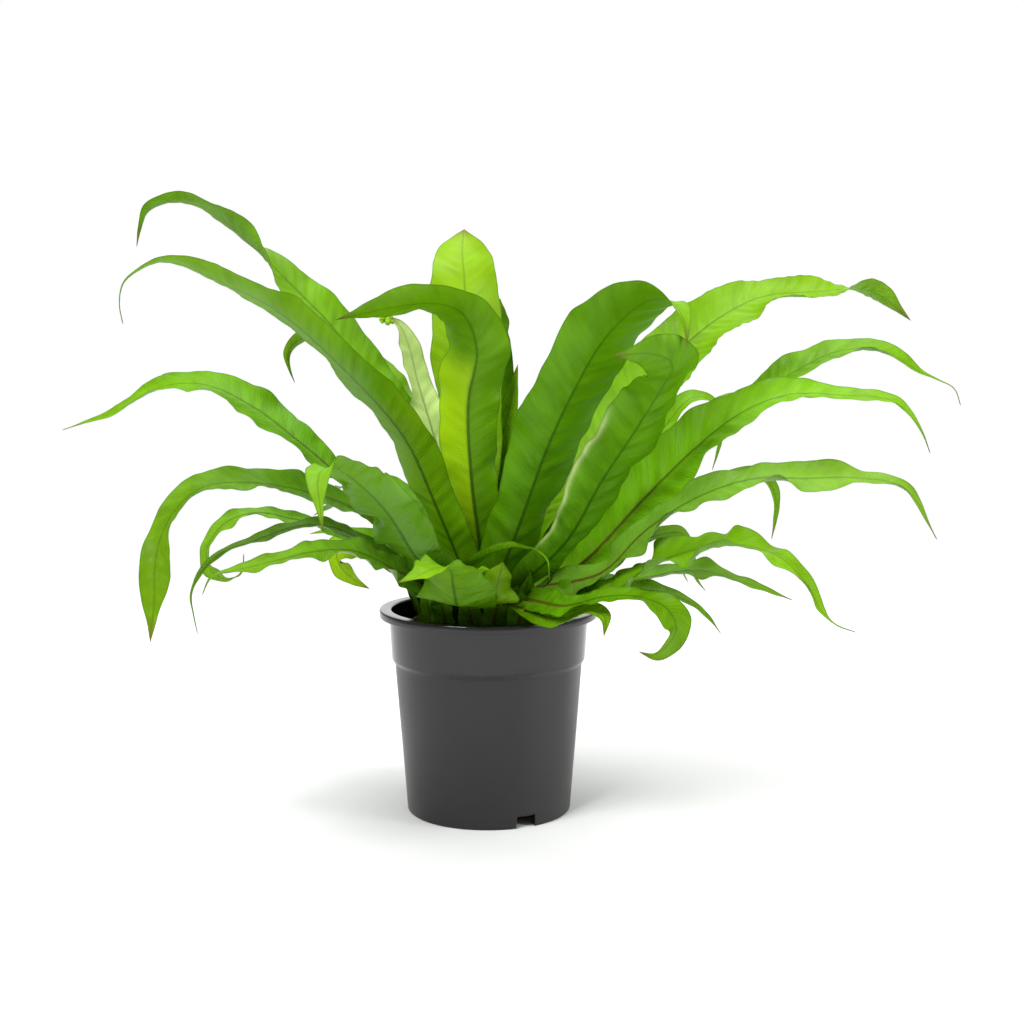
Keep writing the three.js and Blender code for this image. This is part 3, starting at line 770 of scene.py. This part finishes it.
def potMaterial():
    material, tree, shader = newMaterial("blackPlastic", potLook["roughness"], 0.5)
    wear = placeGroup(tree, surfaceWear, **{"Patch Scale": 14.0, "Speck Scale": 520.0})
    patches = rampNode(tree, wear["Patches"], [(0.35, 0.0), (0.7, 1.0)])
    dust = mathNode(tree, "MULTIPLY", wear["Specks"], mathNode(tree, "MULTIPLY", patches, 0.30))
    body = mixColour(tree, dust, potLook["colour"], potLook["dustColour"])
    body = mixColour(tree, mathNode(tree, "MULTIPLY", wear["Scratches"], 0.05), body, potLook["dustColour"])
    tree.links.new(body, shader.inputs["Base Color"])
    # the collar is polished, the wall below it satin
    parts = tree.nodes.new("ShaderNodeSeparateXYZ")
    tree.links.new(tree.nodes.new("ShaderNodeTexCoord").outputs["Object"], parts.inputs[0])
    level = mathNode(tree, "MULTIPLY", parts.outputs["Z"], 5.0)
    collar = rampNode(tree, level, [(0.585, 0.0), (0.605, 1.0)])
    dull = mathNode(tree, "MULTIPLY_ADD", patches, 0.10, potLook["roughness"] - 0.02)
    dull = mathNode(tree, "MULTIPLY_ADD", collar, -0.21, dull)
    dull = mathNode(tree, "MULTIPLY_ADD", wear["Scratches"], 0.10, dull)
    tree.links.new(dull, shader.inputs["Roughness"])
    scored = mathNode(tree, "MULTIPLY", wear["Scratches"], -0.3)
    height = mathNode(tree, "MULTIPLY_ADD", wear["Specks"], 0.6, scored)
    tree.links.new(bumpNode(tree, height, 0.25, 0.0002), shader.inputs["Normal"])
    return material


def roundedOutline(corners, radius, pieces=4, longest=0.005):
    # a closed outline with small arcs at its corners and long straights divided
    outline = []
    count = len(corners)
    for i in range(count):
        before, corner, after = (np.array(corners[(i + k) % count], float) for k in (-1, 0, 1))
        if corner[0] == 0:
            arc = [corner]
        else:
            arms = [before - corner, after - corner]
            sizes = [np.linalg.norm(arm) for arm in arms]
            trims = [arm / size * min(radius, size * 0.45) for arm, size in zip(arms, sizes)]
            start, end = corner + trims[0], corner + trims[1]
            arc = [(1 - t) ** 2 * start + 2 * t * (1 - t) * corner + t * t * end
                   for t in np.linspace(0, 1, pieces)]
        if outline:
            gap = arc[0] - outline[-1]
            steps = max(1, int(np.linalg.norm(gap) / longest))
            outline += [outline[-1] + gap * k / steps for k in range(1, steps)]
        outline += arc
    return np.array(outline)


def turnedMesh(name, outline, sides, material, shift=None):
    # the outline runs from the axis round the section and back to the axis
    points, faces = [], []
    inner = outline[1:-1]
    count = len(inner)
    for k in range(sides):
        turn = 2 * math.pi * k / sides
        for radius, height in inner:
            offset = shift(turn, radius, height) if shift else 0.0
            points.append(((radius + offset) * math.cos(turn), (radius + offset) * math.sin(turn), height))
    first, last = len(points), len(points) + 1
    points += [(0, 0, outline[0][1]), (0, 0, outline[-1][1])]
    for k in range(sides):
        a, b = k * count, (k + 1) % sides * count
        for i in range(count - 1):
            faces.append((a + i, b + i, b + i + 1, a + i + 1))
        faces.append((first, b, a))
        faces.append((last, a + count - 1, b + count - 1))
    return meshFromGrid(name, points, faces, [material])


def makePot():
    wall, foot, top = potLook["wall"], potLook["footRadius"], potLook["bodyTopRadius"]
    step, collar = potLook["stepHeight"], potLook["collarRadius"]
    base = potLook["floorHeight"]

    def bodyRadius(height):
        return foot + (top - foot) * height / step

    corners = [
        (0, base), (bodyRadius(base) - 2.5 * wall, base), (foot - 1.8 * wall, 0), (foot, 0),
        (bodyRadius(step), step), (collar - 0.002, potLook["collarFoot"]), (collar, potHeight - wall - 0.003),
        (rimRadius - wall, potHeight - wall - 0.0004), (rimRadius - wall, potHeight - potLook["lipDepth"]),
        (rimRadius, potHeight - potLook["lipDepth"]), (rimRadius, potHeight),
        (rimRadius - 0.0075 - wall, potHeight), (collar - wall, potHeight - wall - 0.003),
        (collar - wall - 0.002, potLook["collarFoot"] + 0.001), (bodyRadius(step) - wall, step),
        (bodyRadius(base) - wall, base + wall), (0, base + wall),
    ]
    outline = roundedOutline(corners, potLook["corner"])

    def uneven(turn, radius, height):
        wave = math.sin(3 * turn + 1.1) + 0.6 * math.sin(5 * turn + 40 * height)
        wave = wave + 0.4 * math.sin(11 * turn + 2)
        return potLook["unevenness"] * wave * (radius > 0.05)

    pot = turnedMesh("potShell", outline, potLook["sides"], potMaterial(), uneven)
    for k in range(potLook["notchCount"]):
        bearing = math.radians(potLook["firstNotch"] + 360 * k / potLook["notchCount"])
        half, high = potLook["notchWidth"] / 2, potLook["notchHeight"]
        low, near, far = -0.001, foot - 0.010, foot + 0.006
        points = []
        for radius in (near, far):
            for side, height in ((-half, low), (half, low), (half - 0.0008, high), (-half + 0.0008, high)):
                points.append((radius * math.cos(bearing) - side * math.sin(bearing),
                               radius * math.sin(bearing) + side * math.cos(bearing), height))
        faces = [(0, 3, 2, 1), (4, 5, 6, 7), (0, 1, 5, 4), (1, 2, 6, 5), (2, 3, 7, 6), (3, 0, 4, 7)]
        cutter = meshFromGrid("notchCutter", points, faces, [])
        cut = pot.modifiers.new("notch", "BOOLEAN")
        cut.operation, cut.solver, cut.object = "DIFFERENCE", "EXACT", cutter
        evaluated = pot.evaluated_get(bpy.context.evaluated_depsgraph_get())
        mesh = bpy.data.meshes.new_from_object(evaluated)
        pot.modifiers.clear()
        pot.data = mesh
        bpy.data.objects.remove(cutter)
    pot.data.polygons.foreach_set("use_smooth", [True] * len(pot.data.polygons))
    pot.data.set_sharp_from_angle(angle=math.radians(38))
    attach(pot, "root")
    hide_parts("pot")
    print("pot ready:", len(pot.data.polygons), "faces")


makePot()


# soil and crown

soilLook = {
    "edgeHeight": 0.147,
    "topHeight": 0.150,
    "tilt": 0.07,
    "edgeRadius": 0.0745,
    "lumpHeight": 0.0016,
    "grainCount": 1500,
    "fibreCount": 150,
    "dark": (0.020, 0.009, 0.005, 1),
    "brown": (0.085, 0.036, 0.020, 1),
    "red": (0.150, 0.062, 0.034, 1),
    "mossy": (0.060, 0.062, 0.012, 1),
}

crownLook = {
    "radius": 0.050,
    "height": 0.1585,
    "fall": 0.007,
    "scaleCount": 620,
    "youngCount": 38,           # short young blades standing close round the crown
    "dark": (0.030, 0.014, 0.007, 1),
    "brown": (0.110, 0.052, 0.024, 1),
    "pale": (0.240, 0.150, 0.080, 1),
}


def earthMaterial(name, dark, middle, light, tint, scale):
    material, tree, shader = newMaterial(name, 0.9, 0.2)
    place = tree.nodes.new("ShaderNodeTexCoord").outputs["Object"]
    coarse = noiseNode(tree, scale, 6.0, 0.7, place)
    fine = noiseNode(tree, scale * 6, 4.0, 0.7, place)
    blend = mathNode(tree, "MULTIPLY_ADD", fine, 0.5, mathNode(tree, "MULTIPLY", coarse, 0.6))
    body = rampNode(tree, blend, [(0.35, dark), (0.55, middle), (0.75, light)])
    moss = rampNode(tree, noiseNode(tree, 22.0, 2.0, 0.5, place), [(0.52, 0.0), (0.66, 0.6)])
    body = mixColour(tree, moss, body, tint)
    tree.links.new(body, shader.inputs["Base Color"])
    tree.links.new(mathNode(tree, "MULTIPLY_ADD", coarse, 0.25, 0.72), shader.inputs["Roughness"])
    tree.links.new(bumpNode(tree, blend, 0.8, 0.0008), shader.inputs["Normal"])
    return material


def waveField(rng, count, scale):
    # a sum of plane waves, used as smooth noise over the ground
    turns = rng.uniform(0, 2 * math.pi, count)
    sizes = scale * rng.uniform(0.6, 1.7, count)
    phases = rng.uniform(0, 2 * math.pi, count)

    def field(x, y):
        total = 0.0
        for turn, size, phase in zip(turns, sizes, phases):
            total = total + np.sin(2 * math.pi * (x * math.cos(turn) + y * math.sin(turn)) / size + phase)
        return total / math.sqrt(count)
    return field


def groundHeight(x, y):
    radius = np.hypot(x, y)
    edge = smoothStep(0.054, 0.070, radius)
    base = soilLook["topHeight"] + (soilLook["edgeHeight"] - soilLook["topHeight"]) * edge
    return base + soilLook["tilt"] * x * smoothStep(0.052, 0.066, radius)


def makeSoil():
    rng = np.random.default_rng(41)
    material = earthMaterial("moistPeat", soilLook["dark"], soilLook["brown"], soilLook["red"],
                             soilLook["mossy"], 160.0)
    lumps, grit = waveField(rng, 14, 0.011), waveField(rng, 18, 0.0032)
    sides, rings = 300, 84
    points, faces = [], []
    bottom = [(0.0, 0.0082), (0.0618, 0.0082), (0.0708, 0.1165), (0.0729, 0.123)]
    outer = soilLook["edgeRadius"]
    for k in range(sides):
        turn = 2 * math.pi * k / sides
        for radius, height in bottom[1:]:
            points.append((radius * math.cos(turn), radius * math.sin(turn), height))
        for i in range(rings):
            radius = outer * (1 - (i / rings) ** 1.25)
            x, y = radius * math.cos(turn), radius * math.sin(turn)
            bump = 0.6 * lumps(x, y) + 0.4 * grit(x, y)
            rough = soilLook["lumpHeight"] * bump * min(1.0, (outer - radius) / 0.004 + 0.3)
            points.append((x, y, float(groundHeight(x, y)) + rough - 0.0006))
    count = len(bottom) - 1 + rings
    first, last = len(points), len(points) + 1
    points += [(0, 0, bottom[0][1]), (0, 0, soilLook["topHeight"])]
    for k in range(sides):
        a, b = k * count, (k + 1) % sides * count
        for i in range(count - 1):
            faces.append((a + i, b + i, b + i + 1, a + i + 1))
        faces.append((first, b, a))
        faces.append((last, a + count - 1, b + count - 1))
    soil = meshFromGrid("soilBody", points, faces, [material])
    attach(soil, "root")
    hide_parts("soil")
    grains = makeGrains(rng, material)
    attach(grains, "root")
    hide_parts("soil")


def makeGrains(rng, material):
    # loose crumbs and short fibres of peat lying on the ground
    corner = np.array([(x, y, z) for x in (-1, 1) for y in (-1, 1) for z in (-1, 1)], float) * 0.72
    poles = np.array([(s * (a == 0), s * (a == 1), s * (a == 2))
                      for a in range(3) for s in (-1.12, 1.12)], float)
    lump = np.concatenate([corner, poles])
    quads = [((0, 1, 3, 2), 8), ((4, 6, 7, 5), 9), ((0, 4, 5, 1), 10),
             ((2, 3, 7, 6), 11), ((0, 2, 6, 4), 12), ((1, 5, 7, 3), 13)]
    points, faces = [], []
    for _ in range(soilLook["grainCount"]):
        turn, radius = rng.uniform(0, 2 * math.pi), rng.uniform(0.044, soilLook["edgeRadius"] - 0.0015)
        x, y = radius * math.cos(turn), radius * math.sin(turn)
        size = 0.0005 + 0.0016 * rng.random() ** 2.2
        shape = lump * size * rng.uniform(0.55, 1.3, 3) * rng.uniform(0.75, 1.2, (14, 1))
        spin = rng.uniform(0, math.pi)
        cosine, sine = math.cos(spin), math.sin(spin)
        shape = shape @ np.array([[cosine, -sine, 0], [sine, cosine, 0], [0, 0, 1]])
        start = len(points)
        points += [tuple(p) for p in shape + (x, y, float(groundHeight(x, y)) + 0.35 * size)]
        for (a, b, c, d), pole in quads:
            for p, q in ((a, b), (b, c), (c, d), (d, a)):
                faces.append((start + p, start + q, start + pole))
    for _ in range(soilLook["fibreCount"]):
        turn, radius = rng.uniform(0, 2 * math.pi), rng.uniform(0.048, soilLook["edgeRadius"] - 0.003)
        x, y = radius * math.cos(turn), radius * math.sin(turn)
        heading, bend, length = rng.uniform(0, 2 * math.pi), rng.uniform(-2, 2), rng.uniform(0.006, 0.017)
        start, sections = len(points), 7
        for i in range(sections):
            share = i / (sections - 1)
            angle = heading + bend * share
            x += math.cos(angle) * length / sections
            y += math.sin(angle) * length / sections
            reach = math.hypot(x, y) / (soilLook["edgeRadius"] - 0.001)
            if reach > 1:
                x, y = x / reach, y / reach
            thick = 0.00028 * (1.1 - share)
            z = float(groundHeight(x, y)) + 0.0009 + 0.0022 * math.sin(math.pi * share) * abs(bend) / 2
            across = (-math.sin(angle), math.cos(angle))
            points += [(x + across[0] * thick, y + across[1] * thick, z - thick),
                       (x - across[0] * thick, y - across[1] * thick, z - thick), (x, y, z + thick)]
        for i in range(sections - 1):
            for j in range(3):
                p, q = start + 3 * i + j, start + 3 * i + (j + 1) % 3
                faces.append((p, p + 3, q + 3, q))
        faces.append((start, start + 1, start + 2))
        end = start + 3 * (sections - 1)
        faces.append((end, end + 2, end + 1))
    return meshFromGrid("soilCrumbs", points, faces, [material])


def crownTop(radius):
    return crownLook["height"] - crownLook["fall"] * (radius / crownLook["radius"]) ** 2


def makeCrown():
    # a low dome of root-stock closely covered with thin papery scales
    rng = np.random.default_rng(17)
    material = earthMaterial("crownScales", crownLook["dark"], crownLook["brown"], crownLook["pale"],
                             crownLook["brown"], 220.0)
    knobs = waveField(rng, 12, 0.009)
    sides, rings = 160, 34
    points, faces = [], []
    for k in range(sides):
        turn = 2 * math.pi * k / sides
        points.append((crownLook["radius"] * math.cos(turn), crownLook["radius"] * math.sin(turn), 0.1504))
        for i in range(rings):
            radius = crownLook["radius"] * (1 - i / rings)
            x, y = radius * math.cos(turn), radius * math.sin(turn)
            points.append((x, y, crownTop(radius) + 0.0007 * float(knobs(x, y)) * (i > 0)))
    count = rings + 1
    first, last = len(points), len(points) + 1
    points += [(0, 0, 0.1504), (0, 0, crownLook["height"])]
    for k in range(sides):
        a, b = k * count, (k + 1) % sides * count
        for i in range(count - 1):
            faces.append((a + i, b + i, b + i + 1, a + i + 1))
        faces.append((first, b, a))
        faces.append((last, a + count - 1, b + count - 1))
    for k in range(crownLook["scaleCount"]):
        radius = crownLook["radius"] * math.sqrt((k + 0.5) / crownLook["scaleCount"])
        turn = k * 2.39996
        x, y = radius * math.cos(turn), radius * math.sin(turn)
        length, width = rng.uniform(0.005, 0.011), rng.uniform(0.0008, 0.0016)
        heading = turn + rng.uniform(-0.7, 0.7)
        lean = rng.uniform(0.2, 1.0)
        start, sections = len(points), 5
        px, pz = 0.0, crownTop(radius) - 0.001
        for i in range(sections):
            share = i / (sections - 1)
            half = width * math.sin(math.pi * (0.25 + 0.72 * share))
            slope = 1.45 - lean * share * 1.2
            if i:
                px += math.cos(slope) * length / sections
                pz += math.sin(slope) * length / sections
            cx, cy = x + px * math.cos(heading), y + px * math.sin(heading)
            ax, ay = -math.sin(heading) * half, math.cos(heading) * half
            points += [(cx + ax, cy + ay, pz), (cx - ax, cy - ay, pz),
                       (cx - 0.00018 * math.cos(heading), cy - 0.00018 * math.sin(heading), pz + 0.0003)]
        for i in range(sections - 1):
            for j in range(3):
                p, q = start + 3 * i + j, start + 3 * i + (j + 1) % 3
                faces.append((p, q, q + 3, p + 3))
        faces.append((start, start + 2, start + 1))
        end = start + 3 * (sections - 1)
        faces.append((end, end + 1, end + 2))
    crown = meshFromGrid("crownBody", points, faces, [material])
    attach(crown, "root")
    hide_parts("crown")


def makeYoungBlades():
    # short dark blades that fill the foot of the rosette, darkened mostly by the painted shade at each blade's
    # foot
    rng = np.random.default_rng(29)
    look = {**frondLook, "wing": 0.0, "footDepth": 0.0, "ruffle": 0.16, "ruffleLength": 0.03, "glow": 0.0,
            "warmth": 0.3, "tone": 0.2, "fresh": 0.5, "stationStep": 0.003, "pleat": 0.0004}
    for k in range(crownLook["youngCount"]):
        turn = 2 * math.pi * (k + rng.uniform(-0.25, 0.25)) / crownLook["youngCount"]
        out = np.array([math.cos(turn), math.sin(turn), 0.0])
        side = np.array([-math.sin(turn), math.cos(turn), 0.0])
        start = out * (0.053 if k % 2 else 0.043) * rng.uniform(0.94, 1.04) + (0, 0, 0.147)
        length, half = rng.uniform(0.034, 0.054), rng.uniform(0.0080, 0.0120)
        lean, sway = rng.uniform(0.0, 0.3), rng.uniform(-0.25, 0.25)
        rails = []
        for share in np.linspace(0, 1, 7):
            bend = lean + 0.25 * share
            run = length * share
            rise = math.cos(bend) * np.array([0, 0, 1.0])
            middle = start + run * (rise + math.sin(bend) * out + sway * share * side)
            width = half * math.sin(math.pi * (0.22 + 0.78 * share)) ** 0.8 if share < 1 else 0
            cup = out * width * 0.22
            rails.append((middle - side * width + cup, middle, middle + side * width + cup))
        makeBlade("youngBlade_%02d" % k, "crown", np.array(rails), look)


makeSoil()
makeCrown()
makeYoungBlades()
print("soil and crown ready")
